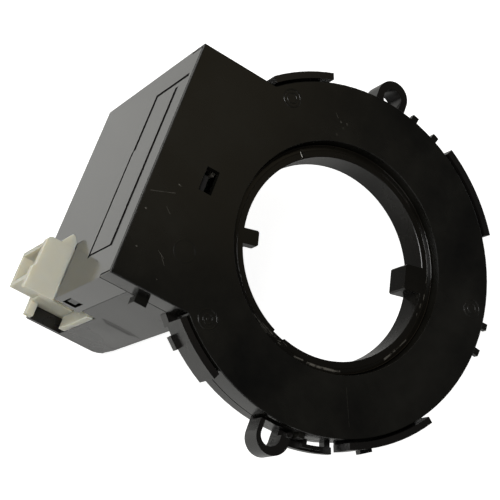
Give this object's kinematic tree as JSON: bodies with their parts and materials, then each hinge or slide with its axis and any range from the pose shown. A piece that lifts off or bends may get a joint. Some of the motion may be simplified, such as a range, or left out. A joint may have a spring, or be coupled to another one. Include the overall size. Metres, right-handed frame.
{
  "type": "steering angle sensor",
  "caption": "Black ring-shaped sensor housing with a deep side box and a pale socket, around a lugged rotor that drives small measuring gears inside.",
  "frame": {"origin": "on the rotor's axis, in the plane of the two ears' back seats", "axes": "+Z along the rotor's axis and out of the front cover, +Y towards the ear with the round hole, and the deep box on the -X side"},
  "size_m": [0.107, 0.105, 0.0622],
  "materials": {
    "black_pbt_gloss": "semi-gloss moulded black with fine scuffs",
    "black_pbt_satin": "satin moulded black",
    "black_pom": "smooth black acetal",
    "natural_pom": "natural white acetal",
    "ferrite": "sintered dark grey",
    "fr4_board": "green solder mask",
    "epoxy_black": "matt moulded epoxy",
    "plated_can": "bright plated can",
    "nylon_black": "matt black",
    "natural_pbt": "natural off-white, satin",
    "tinned_brass": "tin plated"
  },
  "bodies": {
    "sensor_body": {"front_cover": "black_pbt_gloss", "rear_housing": "black_pbt_satin", "side_cover": "black_pbt_gloss", "sensor_board": "fr4_board", "controller_board": "fr4_board", "magnetic_sensor_a": "epoxy_black", "magnetic_sensor_b": "epoxy_black", "microcontroller": "epoxy_black", "bus_transceiver": "epoxy_black", "voltage_regulator": "epoxy_black", "clock_crystal": "plated_can", "capacitor_a": "plated_can", "capacitor_b": "plated_can", "board_link_header": "nylon_black", "connector_housing": "natural_pbt", "terminal_1": "tinned_brass", "terminal_2": "tinned_brass", "terminal_3": "tinned_brass", "terminal_4": "tinned_brass", "terminal_5": "tinned_brass"},
    "drive_rotor": {"drive_rotor": "black_pom"},
    "measuring_gear_a": {"measuring_gear_a": "natural_pom", "gear_magnet_a": "ferrite"},
    "measuring_gear_b": {"measuring_gear_b": "natural_pom", "gear_magnet_b": "ferrite"}
  },
  "joints": [
    {"name": "rotor_spin", "type": "hinge", "parent": "sensor_body", "child": "drive_rotor", "pos_m": [0, 0, 0], "axis": [0, 0, 1], "continuous": true},
    {"name": "gear_a_spin", "type": "hinge", "parent": "sensor_body", "child": "measuring_gear_a", "pos_m": [-0.03809, 0.01238, 0], "axis": [0, 0, 1], "continuous": true},
    {"name": "gear_b_spin", "type": "hinge", "parent": "sensor_body", "child": "measuring_gear_b", "pos_m": [-0.03839, -0.01397, 0], "axis": [0, 0, 1], "continuous": true}
  ],
  "couplings": [
    {"joint": "gear_a_spin", "follows": "rotor_spin", "ratio": -4},
    {"joint": "gear_b_spin", "follows": "rotor_spin", "ratio": -3.6364}
  ]
}
